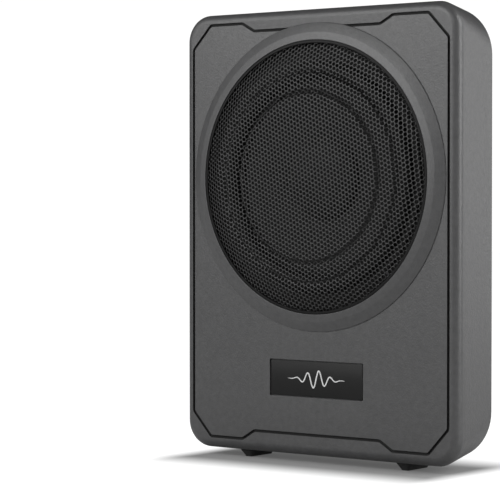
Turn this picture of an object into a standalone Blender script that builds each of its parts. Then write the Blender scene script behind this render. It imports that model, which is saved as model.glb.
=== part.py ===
"""Slim powered car subwoofer: a shallow metal cabinet with an eight-inch driver, its own
amplifier, a control recess in the top end and a connector recess in the bottom end.

Metres, +Z up, grille towards -Y. The origin is on the floor, in the middle of the cabinet's
plan. "Depth" is measured from the front face plane towards the back, along +Y."""

import math

import bmesh
import bpy
from mathutils import Matrix, Vector

# Cabinet
HALF_WIDTH = 0.1282
BODY_HEIGHT = 0.3418
FOOT_HEIGHT = 0.006
BODY_LOW = FOOT_HEIGHT
BODY_HIGH = FOOT_HEIGHT + BODY_HEIGHT
FACE_Y = -0.022
RIM_DEPTH = 0.050
REAR_DEPTH = 0.057
EDGE_RADIUS = 0.007
CORNER_RADIUS = 0.021
REAR_CORNER_RADIUS = 0.037
WALL = 0.0032
FACE_WALL = 0.0035
DRAFT = 0.002
END_DRAFT = 0.0015
CORNER_STEPS = 5
EDGE_STEPS = 3

# Driver axis and the round parts
DRIVER_Z = 0.2192
RING_RADIUS = 0.1177
RING_CREASE_RADIUS = 0.1102
RING_BORE = 0.1043
WELL_RADIUS = 0.1038
WELL_WALL = 0.003
SEAT_DEPTH = 0.006
SEAT_BACK = 0.009
CUTOUT_RADIUS = 0.093
GRILLE_RISE = 0.013
BASKET_RADIUS = 0.1015
SCREW_CIRCLE = 0.0978

# Clearances between neighbours
GAP = 0.0003

# Front details
GROOVE_WIDTH = 0.0022
GROOVE_DEPTH = 0.0014
BADGE_SIZE = (0.088, 0.0284)
BADGE_Z = 0.0650
BADGE_RECESS = 0.002

# End recesses
RECESS_FRONT = 0.016
RECESS_BACK = 0.038
RECESS_RIM = 0.004
TRAY_FLOOR = 0.002
CONTROL_HALF = 0.070
CONNECTOR_HALF = 0.062
CONTROL_FLOOR_Z = BODY_HIGH - 0.0121
CONNECTOR_FLOOR_Z = 0.0175
END_MIDDLE = 0.027
KNOB_X = {"gain": -0.052, "low_pass": -0.025, "bass_boost": 0.002}
SWITCH_X = 0.023
LAMP_X = 0.036
REMOTE_X = 0.054
JACK_X = (-0.053, -0.038)
SPEAKER_INPUT_X = -0.0155
POWER_INPUT_X = 0.0145
FUSE_X = 0.0450

# Feet and fasteners
FOOT_X = 0.074
FOOT_FRONT = 0.008
FOOT_BACK = 0.042
REAR_SCREWS = [(side * x, z) for side in (-1, 1)
               for x, z in ((0.1105, 0.0290), (0.1160, 0.1769), (0.1105, 0.3248))]

ROUND_SEGMENTS = 40
CORE_SEGMENTS = 24


def clear_scene():
    """Removes whatever objects the file holds."""
    for old in list(bpy.data.objects):
        bpy.data.objects.remove(old, do_unlink=True)


def finish(name, color, roughness, metallic):
    """A Principled material for one sub-part."""
    material = bpy.data.materials.new(name)
    material.use_nodes = True
    shader = material.node_tree.nodes["Principled BSDF"]
    shader.inputs["Base Color"].default_value = (*color, 1.0)
    shader.inputs["Roughness"].default_value = roughness
    shader.inputs["Metallic"].default_value = metallic
    return material


PAINT = ((0.13, 0.13, 0.13), 0.55, 0.0)
BLACK_PAINT = ((0.03, 0.03, 0.03), 0.45, 0.0)
BLACK_PLASTIC = ((0.02, 0.02, 0.02), 0.5, 0.0)
RUBBER = ((0.02, 0.02, 0.02), 0.85, 0.0)
STEEL = ((0.55, 0.55, 0.56), 0.35, 1.0)
FERRITE = ((0.05, 0.05, 0.055), 0.7, 0.0)
PAPER = ((0.035, 0.035, 0.035), 0.8, 0.0)
BARE_ALUMINIUM = ((0.75, 0.75, 0.77), 0.4, 1.0)
CIRCUIT = ((0.03, 0.16, 0.07), 0.5, 0.0)
BRASS = ((0.78, 0.57, 0.22), 0.3, 1.0)
COPPER = ((0.72, 0.36, 0.18), 0.35, 1.0)
NICKEL = ((0.7, 0.69, 0.66), 0.3, 1.0)


def add_object(name, bm, look):
    """Closes a bmesh into a named object with outward faces and its own material."""
    bmesh.ops.recalc_face_normals(bm, faces=bm.faces)
    mesh = bpy.data.meshes.new(name)
    bm.to_mesh(mesh)
    bm.free()
    mesh.shade_smooth()
    mesh.set_sharp_from_angle(angle=math.radians(35))
    obj = bpy.data.objects.new(name, mesh)
    bpy.context.scene.collection.objects.link(obj)
    if look is not None:
        obj.data.materials.append(finish(name, *look))
    return obj


def turned(name, profile, segments, look):
    """A solid of revolution about the driver's axis from (radius, depth) points."""
    bm = bmesh.new()
    verts = [bm.verts.new((radius, FACE_Y + depth, DRIVER_Z)) for radius, depth in profile]
    edges = [bm.edges.new(pair) for pair in zip(verts, verts[1:])]
    if profile[0][0] > 0 or profile[-1][0] > 0:
        edges.append(bm.edges.new((verts[-1], verts[0])))
    bmesh.ops.spin(bm, geom=verts + edges, cent=(0, 0, DRIVER_Z), axis=(0, 1, 0),
                   angle=2 * math.pi, steps=segments, use_merge=True)
    bmesh.ops.remove_doubles(bm, verts=bm.verts, dist=0.00001)
    return add_object(name, bm, look)


def block(name, low, high, look, bevel=0.0):
    """A box between two corners, with its upright edges bevelled when asked."""
    bm = bmesh.new()
    size = Vector(high) - Vector(low)
    middle = (Vector(high) + Vector(low)) / 2
    placed = Matrix.Translation(middle) @ Matrix.Diagonal((*size, 1.0))
    bmesh.ops.create_cube(bm, size=1.0, matrix=placed)
    if bevel > 0:
        bmesh.ops.bevel(bm, geom=list(bm.edges), offset=bevel, segments=1, affect="EDGES")
    return add_object(name, bm, look)


def rod(name, low, high, radii, segments, look):
    """A round bar between two points, with a radius at each end."""
    bm = bmesh.new()
    along = Vector(high) - Vector(low)
    turn = along.to_track_quat("Z", "Y").to_matrix().to_4x4()
    middle = (Vector(high) + Vector(low)) / 2
    bmesh.ops.create_cone(bm, cap_ends=True, segments=segments, radius1=radii[0],
                          radius2=radii[1], depth=along.length,
                          matrix=Matrix.Translation(middle) @ turn)
    return add_object(name, bm, look)


def outline(half_width, low, high, radius, y):
    """A rounded rectangle in a plane of constant y, counter-clockwise seen from the front."""
    points = []
    corners = ((1, high, 0), (-1, high, 90), (-1, low, 180), (1, low, 270))
    for side, z, start in corners:
        centre_x = side * (half_width - radius)
        centre_z = z - radius if z == high else z + radius
        for step in range(CORNER_STEPS + 1):
            angle = math.radians(start + 90 * step / CORNER_STEPS)
            points.append(Vector((centre_x + radius * math.cos(angle), y,
                                  centre_z + radius * math.sin(angle))))
    return points


def loft(name, rings, look):
    """A closed solid through a list of outlines with the same number of points."""
    bm = bmesh.new()
    loops = [[bm.verts.new(point) for point in ring] for ring in rings]
    count = len(loops[0])
    for first, second in zip(loops, loops[1:]):
        for i in range(count):
            j = (i + 1) % count
            bm.faces.new((first[i], first[j], second[j], second[i]))
    bm.faces.new(loops[0])
    bm.faces.new(loops[-1])
    return add_object(name, bm, look)


def body_outline(depth, inset):
    """The cabinet's outline at a depth: it narrows a little towards the back."""
    share = max(0.0, (depth - EDGE_RADIUS) / (RIM_DEPTH - EDGE_RADIUS))
    radius = CORNER_RADIUS + share * (REAR_CORNER_RADIUS - CORNER_RADIUS) - inset
    return outline(HALF_WIDTH - DRAFT * share - inset,
                   BODY_LOW + END_DRAFT * share + inset,
                   BODY_HIGH - END_DRAFT * share - inset,
                   max(radius, 0.004), FACE_Y + depth)


def carve(target, tool, operation="DIFFERENCE"):
    """Cuts or joins a guide solid into a part."""
    tool.hide_render = True
    tool.display_type = "WIRE"
    modifier = target.modifiers.new(tool.name, "BOOLEAN")
    modifier.operation = operation
    modifier.solver = "EXACT"
    modifier.object = tool


def pivot(obj, point):
    """Moves an object's origin to a point on its joint axis, leaving its shape in place."""
    obj.data.transform(Matrix.Translation(-Vector(point)))
    obj.location = point


def groove_corners(offset):
    """The front groove's octagon with a stepped-in middle, moved outwards by an offset."""
    side, shoulder, step_in, middle = 0.1199, 0.1029, 0.0705, 0.0589
    high = (0.1034, 0.1213, 0.1213, 0.1150)
    low = (0.1866, 0.2052, 0.2052, 0.1981)
    quarter = [(side + offset, 0, -0.4), (shoulder, 1, 0.4), (step_in, 1, 0.45), (middle, 1, 0.45)]
    points = []
    for sign_z, levels in ((1, high), (-1, low)):
        run = []
        for (x, is_flat, lean), level in zip(quarter, levels):
            shift = offset if is_flat else -lean * offset
            slide = lean * offset if is_flat else 0.0
            run.append((x + slide, sign_z * (level + shift)))
        right = run if sign_z > 0 else run[::-1]
        left = [(-x, z) for x, z in right[::-1]]
        points += right + left if sign_z > 0 else left + right
    return [(x, DRIVER_Z + z) for x, z in points]


def groove_cutter():
    """The thin band between two copies of the groove's outline, as one closed ring."""
    bm = bmesh.new()
    rings = []
    for offset, depth in ((0.0, -0.001), (GROOVE_WIDTH, -0.001),
                          (GROOVE_WIDTH, GROOVE_DEPTH), (0.0, GROOVE_DEPTH)):
        corners = groove_corners(offset - GROOVE_WIDTH)
        rings.append([bm.verts.new((x, FACE_Y + depth, z)) for x, z in corners])
    count = len(rings[0])
    for first, second in zip(rings, rings[1:] + rings[:1]):
        for i in range(count):
            j = (i + 1) % count
            bm.faces.new((first[i], first[j], second[j], second[i]))
    return add_object("groove_cutter", bm, None)


def make_front_housing():
    """Cast front housing: face, four walls, driver well and screw posts."""
    rings = []
    for step in range(EDGE_STEPS + 1):
        angle = math.radians(90 * step / EDGE_STEPS)
        rings.append(body_outline(EDGE_RADIUS * (1 - math.cos(angle)),
                                  EDGE_RADIUS * (1 - math.sin(angle))))
    rings.append(body_outline(RIM_DEPTH, 0.0))
    housing = loft("front_housing", rings, PAINT)
    beyond = RIM_DEPTH + 0.002
    hollow = loft("hollow_cutter", [body_outline(FACE_WALL, EDGE_RADIUS),
                                    body_outline(EDGE_RADIUS + 0.002, WALL),
                                    body_outline(beyond, WALL)], None)
    carve(housing, hollow)
    well = rod("well_guide", (0, FACE_Y + 0.001, DRIVER_Z), (0, FACE_Y + SEAT_BACK, DRIVER_Z),
               (WELL_RADIUS + WELL_WALL,) * 2, ROUND_SEGMENTS, None)
    carve(housing, well, "UNION")
    for number, (x, z) in enumerate(REAR_SCREWS):
        post = rod(f"post_guide_{number}", (x, FACE_Y + 0.002, z),
                   (x, FACE_Y + RIM_DEPTH - 0.0036, z), (0.0048,) * 2, 10, None)
        carve(housing, post, "UNION")
        bore = rod(f"post_bore_{number}", (x, FACE_Y + 0.028, z),
                   (x, FACE_Y + RIM_DEPTH, z), (0.0019,) * 2, 10, None)
        carve(housing, bore)
    carve(housing, rod("well_cutter", (0, FACE_Y - 0.002, DRIVER_Z),
                       (0, FACE_Y + SEAT_DEPTH, DRIVER_Z), (WELL_RADIUS,) * 2,
                       ROUND_SEGMENTS, None))
    carve(housing, rod("cutout_cutter", (0, FACE_Y + SEAT_DEPTH - 0.001, DRIVER_Z),
                       (0, FACE_Y + SEAT_BACK + 0.002, DRIVER_Z), (CUTOUT_RADIUS,) * 2,
                       ROUND_SEGMENTS, None))
    carve(housing, groove_cutter())
    half_badge = BADGE_SIZE[0] / 2
    carve(housing, block("badge_cutter", (-half_badge, FACE_Y - 0.001, BADGE_Z - BADGE_SIZE[1] / 2),
                         (half_badge, FACE_Y + BADGE_RECESS, BADGE_Z + BADGE_SIZE[1] / 2), None))
    for name, half, low, high in (("control_window", CONTROL_HALF, BODY_HIGH - 0.0065, BODY_HIGH + 0.005),
                                  ("connector_window", CONNECTOR_HALF, BODY_LOW - 0.005, BODY_LOW + 0.0065)):
        carve(housing, block(name, (-half, FACE_Y + RECESS_FRONT, low),
                             (half, FACE_Y + RECESS_BACK, high), None))
    for number, (x, z) in enumerate(driver_screw_places()):
        carve(housing, rod(f"seat_bore_{number}", (x, FACE_Y + SEAT_DEPTH - 0.001, z),
                           (x, FACE_Y + SEAT_BACK + 0.002, z), (0.0018,) * 2, 8, None))
    return housing


def driver_screw_places():
    """Four places around the driver's flange."""
    places = []
    for number in range(4):
        angle = math.radians(41 + 90 * number)
        places.append((SCREW_CIRCLE * math.cos(angle), DRIVER_Z + SCREW_CIRCLE * math.sin(angle)))
    return places


def make_front_trim():
    """Trim ring, stamped grille dome and name badge plate."""
    turned("grille_ring", [(RING_RADIUS, -GAP), (RING_RADIUS, -0.0009),
                           (RING_CREASE_RADIUS, -0.0039), (RING_BORE + 0.0003, -0.0050),
                           (RING_BORE, -0.0046), (RING_BORE, -0.0018),
                           (0.1062, -0.0018), (0.1062, -GAP)], ROUND_SEGMENTS, PAINT)
    sheet = 0.0009
    outer = [(0.1058, -0.0015), (0.1032, -0.0015), (0.1030, -0.0040), (0.0870, -0.0103),
             (0.0800, -0.0117), (0.0640, -0.0124), (0.0, -GRILLE_RISE)]
    inner = [(0.0, -GRILLE_RISE + sheet), (0.0640, -0.0124 + sheet), (0.0798, -0.0117 + sheet),
             (0.0866, -0.0103 + sheet), (0.1021, -0.0036), (0.1021, -GAP), (0.1058, -GAP)]
    turned("grille", outer + inner, ROUND_SEGMENTS, BLACK_PAINT)
    half_width = BADGE_SIZE[0] / 2 - 0.0007
    half_height = BADGE_SIZE[1] / 2 - 0.0007
    block("badge_plate", (-half_width, FACE_Y + 0.0006, BADGE_Z - half_height),
          (half_width, FACE_Y + BADGE_RECESS - GAP, BADGE_Z + half_height), BLACK_PLASTIC, 0.0002)


def make_rear():
    """Pressed rear cover with a raised pan, and its six screws."""
    plate_front = RIM_DEPTH - 0.0033
    plate_back = plate_front + 0.0018
    seam = WALL + 0.0005
    pan_inset = 0.0178
    cover = loft("rear_cover", [body_outline(plate_front, seam), body_outline(plate_back, seam)],
                 PAINT)
    pan_levels = ((plate_front + 0.0004, pan_inset), (REAR_DEPTH - 0.003, pan_inset),
                  (REAR_DEPTH, pan_inset + 0.003))
    carve(cover, loft("pan_guide", [outline(HALF_WIDTH - inset, BODY_LOW + inset,
                                            BODY_HIGH - inset, 0.020, FACE_Y + depth)
                                    for depth, inset in pan_levels], None), "UNION")
    skin = 0.0018
    carve(cover, loft("pan_cutter", [outline(HALF_WIDTH - inset - skin,
                                             BODY_LOW + inset + skin, BODY_HIGH - inset - skin,
                                             0.018, FACE_Y + depth)
                                     for depth, inset in ((plate_front - 0.002, pan_inset),
                                                          (REAR_DEPTH - 0.003 - skin, pan_inset),
                                                          (REAR_DEPTH - skin, pan_inset + 0.003))],
                      None))
    for number, (x, z) in enumerate(REAR_SCREWS):
        carve(cover, rod(f"cover_bore_{number}", (x, FACE_Y + plate_front - 0.002, z),
                         (x, FACE_Y + plate_back + 0.004, z), (0.0022,) * 2, 10, None))
        screw(f"rear_screw_{number + 1}", (x, FACE_Y + plate_back + GAP, z), 0.0034, 0.0016,
              0.0017, 0.010)


def screw(name, seat, head_radius, shank_radius, head_height, length):
    """A pan-head screw entering towards -Y when length is positive, +Y when it is negative."""
    way = math.copysign(1.0, length)
    profile_seat = Vector(seat)
    head = rod(name, profile_seat, profile_seat + Vector((0, way * head_height, 0)),
               (head_radius, head_radius * 0.75), 12, STEEL)
    shank = rod(f"{name}_shank", profile_seat + Vector((0, way * head_height * 0.5, 0)),
                profile_seat - Vector((0, length, 0)), (shank_radius,) * 2, 8, None)
    carve(head, shank, "UNION")
    return head


def make_driver():
    """The eight-inch driver: basket, motor, moving cone and its suspension."""
    basket = turned("driver_basket", [
        (0.0895, 0.0032), (0.0890, 0.0100), (0.0670, 0.0245), (0.0570, 0.0245),
        (0.0570, 0.0298), (0.0225, 0.0298), (0.0225, 0.0316), (0.0590, 0.0316),
        (0.0600, 0.0266), (0.0690, 0.0264), (0.0912, 0.0115), (0.0924, 0.0057),
        (BASKET_RADIUS, 0.0057), (BASKET_RADIUS, 0.0032)], ROUND_SEGMENTS, BLACK_PAINT)
    for number in range(6):
        window = block(f"basket_window_{number}", (0.060, FACE_Y + 0.0127, -0.0234),
                       (0.105, FACE_Y + 0.0223, 0.0234), None)
        window.location = (0, 0, DRIVER_Z)
        window.rotation_euler = (0, math.radians(60 * number + 2), 0)
        carve(basket, window)
    for number, (x, z) in enumerate(driver_screw_places()):
        carve(basket, rod(f"flange_bore_{number}", (x, FACE_Y + 0.001, z),
                          (x, FACE_Y + 0.0065, z), (0.0020,) * 2, 8, None))
        screw(f"driver_screw_{number + 1}", (x, FACE_Y + 0.0032 - GAP, z), 0.0030, 0.0014,
              0.0015, -0.0085)
    turned("top_plate", [(0.0209, 0.0320), (0.0470, 0.0320), (0.0470, 0.0358),
                         (0.0209, 0.0358)], CORE_SEGMENTS, STEEL)
    turned("magnet", [(0.0240, 0.0361), (0.0500, 0.0361), (0.0500, 0.0475),
                      (0.0240, 0.0475)], CORE_SEGMENTS, FERRITE)
    turned("yoke", [(0.0, 0.0300), (0.0176, 0.0300), (0.0176, 0.0478), (0.0470, 0.0478),
                    (0.0470, 0.0522), (0.0, 0.0522)], CORE_SEGMENTS, STEEL)
    turned("surround", surround_profile(), ROUND_SEGMENTS, RUBBER)
    turned("spider", spider_profile(), CORE_SEGMENTS, PAPER)
    axis_point = (0, FACE_Y + 0.0040, DRIVER_Z)
    cone = turned("cone", [(0.0740, 0.0032), (0.0700, 0.0036), (0.0196, 0.0146),
                           (0.0196, 0.0158), (0.0700, 0.0048), (0.0740, 0.0044)],
                  ROUND_SEGMENTS, PAPER)
    cap = turned("dust_cap", dust_cap_profile(), CORE_SEGMENTS, PAPER)
    former = turned("coil_former", [(0.0181, 0.0125), (0.0187, 0.0125), (0.0187, 0.0395),
                                    (0.0181, 0.0395)], CORE_SEGMENTS, BARE_ALUMINIUM)
    coil = turned("voice_coil", [(0.0190, 0.0280), (0.0201, 0.0280), (0.0201, 0.0392),
                                 (0.0190, 0.0392)], CORE_SEGMENTS, COPPER)
    for piece in (cone, cap, former, coil):
        pivot(piece, axis_point)
    terminal = block("driver_terminal", (-0.012, FACE_Y + 0.0275, DRIVER_Z - 0.0730),
                     (0.012, FACE_Y + 0.0290, DRIVER_Z - 0.0615), BLACK_PLASTIC)
    tag = block("terminal_tags", (-0.0085, FACE_Y + 0.0285, DRIVER_Z - 0.0700),
                (0.0085, FACE_Y + 0.0320, DRIVER_Z - 0.0670), None)
    carve(terminal, tag, "UNION")


def surround_profile():
    """A half roll between the cone's edge and the basket's flange, with two flat lips."""
    sheet = 0.0012
    middle = 0.0815
    roll = 0.0072
    base = 0.0029
    steps = 5
    outer = [(0.0945, base - sheet), (middle + roll, base - sheet)]
    inner = [(0.0945, base)]
    for step in range(1, steps):
        angle = math.pi * step / steps
        outer.append((middle + roll * math.cos(angle), base - sheet - roll * math.sin(angle)))
    outer += [(middle - roll, base - sheet), (0.0705, base - sheet)]
    inner.append((middle + roll - sheet, base))
    for step in range(1, steps):
        angle = math.pi * step / steps
        reach = roll - sheet
        inner.append((middle + reach * math.cos(angle), base - sheet - reach * math.sin(angle)))
    inner += [(middle - roll + sheet, base), (0.0705, base)]
    return outer + inner[::-1]


def spider_profile():
    """A corrugated ring from the coil former to the basket's ledge."""
    sheet = 0.0008
    start, end = 0.0192, 0.0570
    waves = 4
    steps = waves * 2
    lip = [(0.0640, 0.0234)]
    front = []
    for step in range(steps + 1):
        radius = start + (end - start) * step / steps
        swing = 0.0013 if step % 2 else -0.0013
        if step in (0, steps):
            swing = 0.0
        front.append((radius, 0.0232 + swing))
    back = [(radius, depth + sheet) for radius, depth in front]
    return front + lip + [(0.0640, 0.0234 + sheet)] + back[::-1]


def dust_cap_profile():
    """A shallow dome over the cone's neck, open behind."""
    steps = 5
    rim, rise, edge_depth, sheet = 0.0325, 0.0085, 0.0112, 0.0009
    outer = []
    inner = []
    for step in range(steps + 1):
        angle = math.radians(90 * step / steps)
        outer.append((rim * math.cos(angle), edge_depth - rise * math.sin(angle)))
        inner.append(((rim - sheet) * math.cos(angle),
                      edge_depth + 0.0003 - (rise - sheet) * math.sin(angle)))
    outer[-1] = (0.0, edge_depth - rise)
    inner[-1] = (0.0, edge_depth + 0.0003 - rise + sheet)
    return outer + inner[::-1]


def make_controls():
    """Control recess in the top end: tray, three knobs, phase switch, lamp, remote socket."""
    rim = RECESS_RIM
    floor_low = CONTROL_FLOOR_Z - TRAY_FLOOR
    tray = block("control_tray", (-CONTROL_HALF - rim, FACE_Y + RECESS_FRONT - rim, floor_low),
                 (CONTROL_HALF + rim, FACE_Y + RECESS_BACK + rim, CONTROL_FLOOR_Z + 0.0068), BLACK_PLASTIC)
    carve(tray, block("control_pocket", (-CONTROL_HALF, FACE_Y + RECESS_FRONT, CONTROL_FLOOR_Z),
                      (CONTROL_HALF, FACE_Y + RECESS_BACK, BODY_HIGH), None))
    middle = FACE_Y + END_MIDDLE
    board_top = CONTROL_FLOOR_Z - 0.0103
    knob_top = CONTROL_FLOOR_Z + 0.0107
    shaft_top = knob_top - 0.0034
    board_low = board_top - 0.0014
    for label, x in KNOB_X.items():
        carve(tray, rod(f"{label}_tray_bore", (x, middle, floor_low - 0.001),
                        (x, middle, CONTROL_FLOOR_Z + 0.001), (0.0033,) * 2, 12, None))
        block(f"{label}_pot", (x - 0.006, middle - 0.006, board_top + GAP),
              (x + 0.006, middle + 0.006, floor_low - GAP), BLACK_PLASTIC, 0.0004)
        shaft = rod(f"{label}_shaft", (x, middle, floor_low), (x, middle, shaft_top),
                    (0.0029,) * 2, 12, NICKEL)
        knob = rod(f"{label}_knob", (x, middle, CONTROL_FLOOR_Z + 0.0005),
                   (x, middle, knob_top), (0.0078, 0.0070), 20, BLACK_PLASTIC)
        carve(knob, rod(f"{label}_knob_bore", (x, middle, CONTROL_FLOOR_Z),
                        (x, middle, shaft_top + GAP), (0.0032,) * 2, 12, None))
        carve(knob, block(f"{label}_knob_slot", (x - 0.0006, middle + 0.0015, knob_top - 0.001),
                          (x + 0.0006, middle + 0.0090, knob_top + 0.001), None))
        pivot(shaft, (x, middle, CONTROL_FLOOR_Z))
        pivot(knob, (x, middle, CONTROL_FLOOR_Z))
    half_slot = 0.0055
    carve(tray, block("switch_slot", (SWITCH_X - half_slot, middle - 0.0022, floor_low - 0.001),
                      (SWITCH_X + half_slot, middle + 0.0022, CONTROL_FLOOR_Z + 0.001), None))
    block("phase_switch", (SWITCH_X - 0.0065, middle - 0.0035, board_top + GAP),
          (SWITCH_X + 0.0065, middle + 0.0035, floor_low - GAP), STEEL)
    slider = block("phase_slider", (SWITCH_X - half_slot + GAP, middle - 0.0018, floor_low),
                   (SWITCH_X - half_slot + GAP + 0.0070, middle + 0.0018,
                    CONTROL_FLOOR_Z + 0.0040),
                   BLACK_PLASTIC, 0.0004)
    pivot(slider, (SWITCH_X - 0.002, middle, CONTROL_FLOOR_Z))
    carve(tray, rod("lamp_bore", (LAMP_X, middle, floor_low - 0.001),
                    (LAMP_X, middle, CONTROL_FLOOR_Z + 0.001), (0.0018,) * 2, 12, None))
    rod("power_lamp", (LAMP_X, middle, board_top + GAP), (LAMP_X, middle, CONTROL_FLOOR_Z + 0.0015),
        (0.0015, 0.0015), 12, ((0.1, 0.25, 0.9), 0.2, 0.0))
    carve(tray, block("remote_hole", (REMOTE_X - 0.0073, middle - 0.0068, floor_low - 0.001),
                      (REMOTE_X + 0.0073, middle + 0.0068, CONTROL_FLOOR_Z + 0.001), None))
    socket = block("remote_socket", (REMOTE_X - 0.0070, middle - 0.0065, board_top + GAP),
                   (REMOTE_X + 0.0070, middle + 0.0065, CONTROL_FLOOR_Z + 0.0010),
                   BLACK_PLASTIC)
    carve(socket, block("remote_mouth", (REMOTE_X - 0.0052, middle - 0.0045,
                                   CONTROL_FLOOR_Z - 0.0080),
                        (REMOTE_X + 0.0052, middle + 0.0030, BODY_HIGH), None))
    block("control_board", (-0.066, middle - 0.0090, board_low), (0.066, middle + 0.0090, board_top),
          CIRCUIT)


def make_connectors():
    """Connector recess in the bottom end: tray, RCA jacks, two multi-way inlets and the fuse."""
    rim = RECESS_RIM
    floor_high = CONNECTOR_FLOOR_Z + TRAY_FLOOR
    tray = block("connector_tray",
                 (-CONNECTOR_HALF - rim, FACE_Y + RECESS_FRONT - rim, 0.0118),
                 (CONNECTOR_HALF + rim, FACE_Y + RECESS_BACK + rim, floor_high), BLACK_PLASTIC)
    carve(tray, block("connector_pocket",
                      (-CONNECTOR_HALF, FACE_Y + RECESS_FRONT, 0.005),
                      (CONNECTOR_HALF, FACE_Y + RECESS_BACK, CONNECTOR_FLOOR_Z), None))
    middle = FACE_Y + END_MIDDLE
    inside = 0.0290
    for number, x in enumerate(JACK_X):
        hole_low = CONNECTOR_FLOOR_Z - 0.001
        carve(tray, rod(f"jack_bore_{number}", (x, middle, hole_low),
                        (x, middle, floor_high + 0.001), (0.0048,) * 2, 16, None))
        jack = rod(f"rca_jack_{number + 1}", (x, middle, 0.0095), (x, middle, inside),
                   (0.0043, 0.0043), 16, BRASS)
        carve(jack, rod(f"jack_mouth_{number}", (x, middle, 0.0080), (x, middle, 0.0200),
                        (0.0033,) * 2, 16, None))
        carve(jack, rod(f"jack_pin_{number}", (x, middle, 0.0190), (x, middle, 0.0205),
                        (0.0016,) * 2, 8, None))
    inlets = (("speaker_input", SPEAKER_INPUT_X, 0.0120), ("power_input", POWER_INPUT_X, 0.0140))
    for name, x, half in inlets:
        carve(tray, block(f"{name}_hole", (x - half - 0.0003, middle - 0.0065, 0.0165),
                          (x + half + 0.0003, middle + 0.0065, floor_high + 0.001), None))
        inlet = block(name, (x - half, middle - 0.0062, 0.0100), (x + half, middle + 0.0062, inside),
                      BLACK_PLASTIC)
        carve(inlet, block(f"{name}_mouth", (x - half + 0.0015, middle - 0.0045, 0.0080),
                           (x + half - 0.0015, middle + 0.0045, 0.0200), None))
    half = 0.0118
    carve(tray, block("fuse_hole", (FUSE_X - half - 0.0003, middle - 0.0048, 0.0165),
                      (FUSE_X + half + 0.0003, middle + 0.0048, floor_high + 0.001), None))
    holder = block("fuse_holder", (FUSE_X - half, middle - 0.0045, 0.0130),
                   (FUSE_X + half, middle + 0.0045, inside), BLACK_PLASTIC)
    carve(holder, block("fuse_pocket", (FUSE_X - 0.0100, middle - 0.0030, 0.0110),
                        (FUSE_X + 0.0100, middle + 0.0030, 0.0240), None))
    block("blade_fuse", (FUSE_X - 0.0097, middle - 0.0024, 0.0105),
          (FUSE_X + 0.0097, middle + 0.0024, 0.0236), ((0.85, 0.28, 0.03), 0.3, 0.0), 0.0006)


def make_amplifier():
    """Amplifier board in the cabinet's lower part, with its large components."""
    board_front = FACE_Y + 0.0400
    board_back = board_front + 0.0016
    board = block("amp_board", (-0.100, board_front, 0.0330), (0.100, board_back, 0.1080), CIRCUIT)
    carve(board, rod("board_bore", (0, board_front - 0.002, 0.070), (0, board_back + 0.002, 0.070),
                     (0.0018,) * 2, 8, None))
    face = board_front - GAP
    for number, (x, z) in enumerate(((-0.082, 0.084), (-0.058, 0.084))):
        rod(f"capacitor_{number + 1}", (x, face - 0.026, z), (x, face, z), (0.0095,) * 2, 20,
            BLACK_PLASTIC)
    ring = [(0.0065, face - 0.011), (0.0150, face - 0.011), (0.0150, face), (0.0065, face)]
    choke_bm = bmesh.new()
    verts = [choke_bm.verts.new((-0.026 + radius, y, 0.086)) for radius, y in ring]
    edges = [choke_bm.edges.new(pair) for pair in zip(verts, verts[1:] + verts[:1])]
    bmesh.ops.spin(choke_bm, geom=verts + edges, cent=(-0.026, 0, 0.086), axis=(0, 1, 0),
                   angle=2 * math.pi, steps=20, use_merge=True)
    add_object("choke_coil", choke_bm, COPPER)
    block("transformer", (-0.090, face - 0.022, 0.040), (-0.058, face, 0.066),
          BLACK_PLASTIC, 0.001)
    sink = block("heat_sink", (0.012, face - 0.026, 0.0420), (0.092, face, 0.0660),
                 BARE_ALUMINIUM)
    for fin in range(7):
        low_x = 0.0165 + 0.0105 * fin
        carve(sink, block(f"fin_gap_{fin}", (low_x, face - 0.030, 0.040),
                          (low_x + 0.0070, face - 0.006, 0.070), None))
    for number in range(2):
        x = 0.0320 + 0.0400 * number
        block(f"transistor_{number + 1}", (x - 0.0050, face - 0.0170, 0.0663),
              (x + 0.0050, face - 0.0010, 0.0710), BLACK_PLASTIC, 0.0004)


def make_leads():
    """Two insulated leads from the amplifier board up to the driver's terminals."""
    for name, side, color in (("lead_positive", 1, (0.5, 0.02, 0.02)),
                              ("lead_negative", -1, (0.02, 0.02, 0.02))):
        stops = [Vector((side * 0.006, FACE_Y + 0.0394, 0.1020)),
                 Vector((side * 0.006, FACE_Y + 0.0350, 0.1030)),
                 Vector((side * 0.007, FACE_Y + 0.0310, 0.1120)),
                 Vector((side * 0.007, FACE_Y + 0.0338, 0.1300)),
                 Vector((side * 0.0065, FACE_Y + 0.0352, 0.1420)),
                 Vector((side * 0.006, FACE_Y + 0.0338, 0.1480)),
                 Vector((side * 0.006, FACE_Y + 0.0324, 0.1490))]
        path = smooth_path(stops, 3)
        curve = bpy.data.curves.new(name, "CURVE")
        curve.dimensions = "3D"
        curve.bevel_depth = 0.0010
        curve.bevel_resolution = 1
        curve.use_fill_caps = True
        spline = curve.splines.new("POLY")
        spline.points.add(len(path) - 1)
        for point, place in zip(spline.points, path):
            point.co = (*place, 1.0)
        obj = bpy.data.objects.new(name, curve)
        obj.data.materials.append(finish(name, color, 0.5, 0.0))
        bpy.context.scene.collection.objects.link(obj)


def smooth_path(stops, between):
    """A Catmull-Rom curve through the stops, sampled between each pair."""
    padded = [stops[0]] + stops + [stops[-1]]
    path = []
    for a, b, c, d in zip(padded, padded[1:], padded[2:], padded[3:]):
        for step in range(between):
            t = step / between
            path.append(0.5 * (2 * b + (c - a) * t + (2 * a - 5 * b + 4 * c - d) * t * t
                               + (3 * b - a - 3 * c + d) * t * t * t))
    path.append(stops[-1])
    return path


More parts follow.
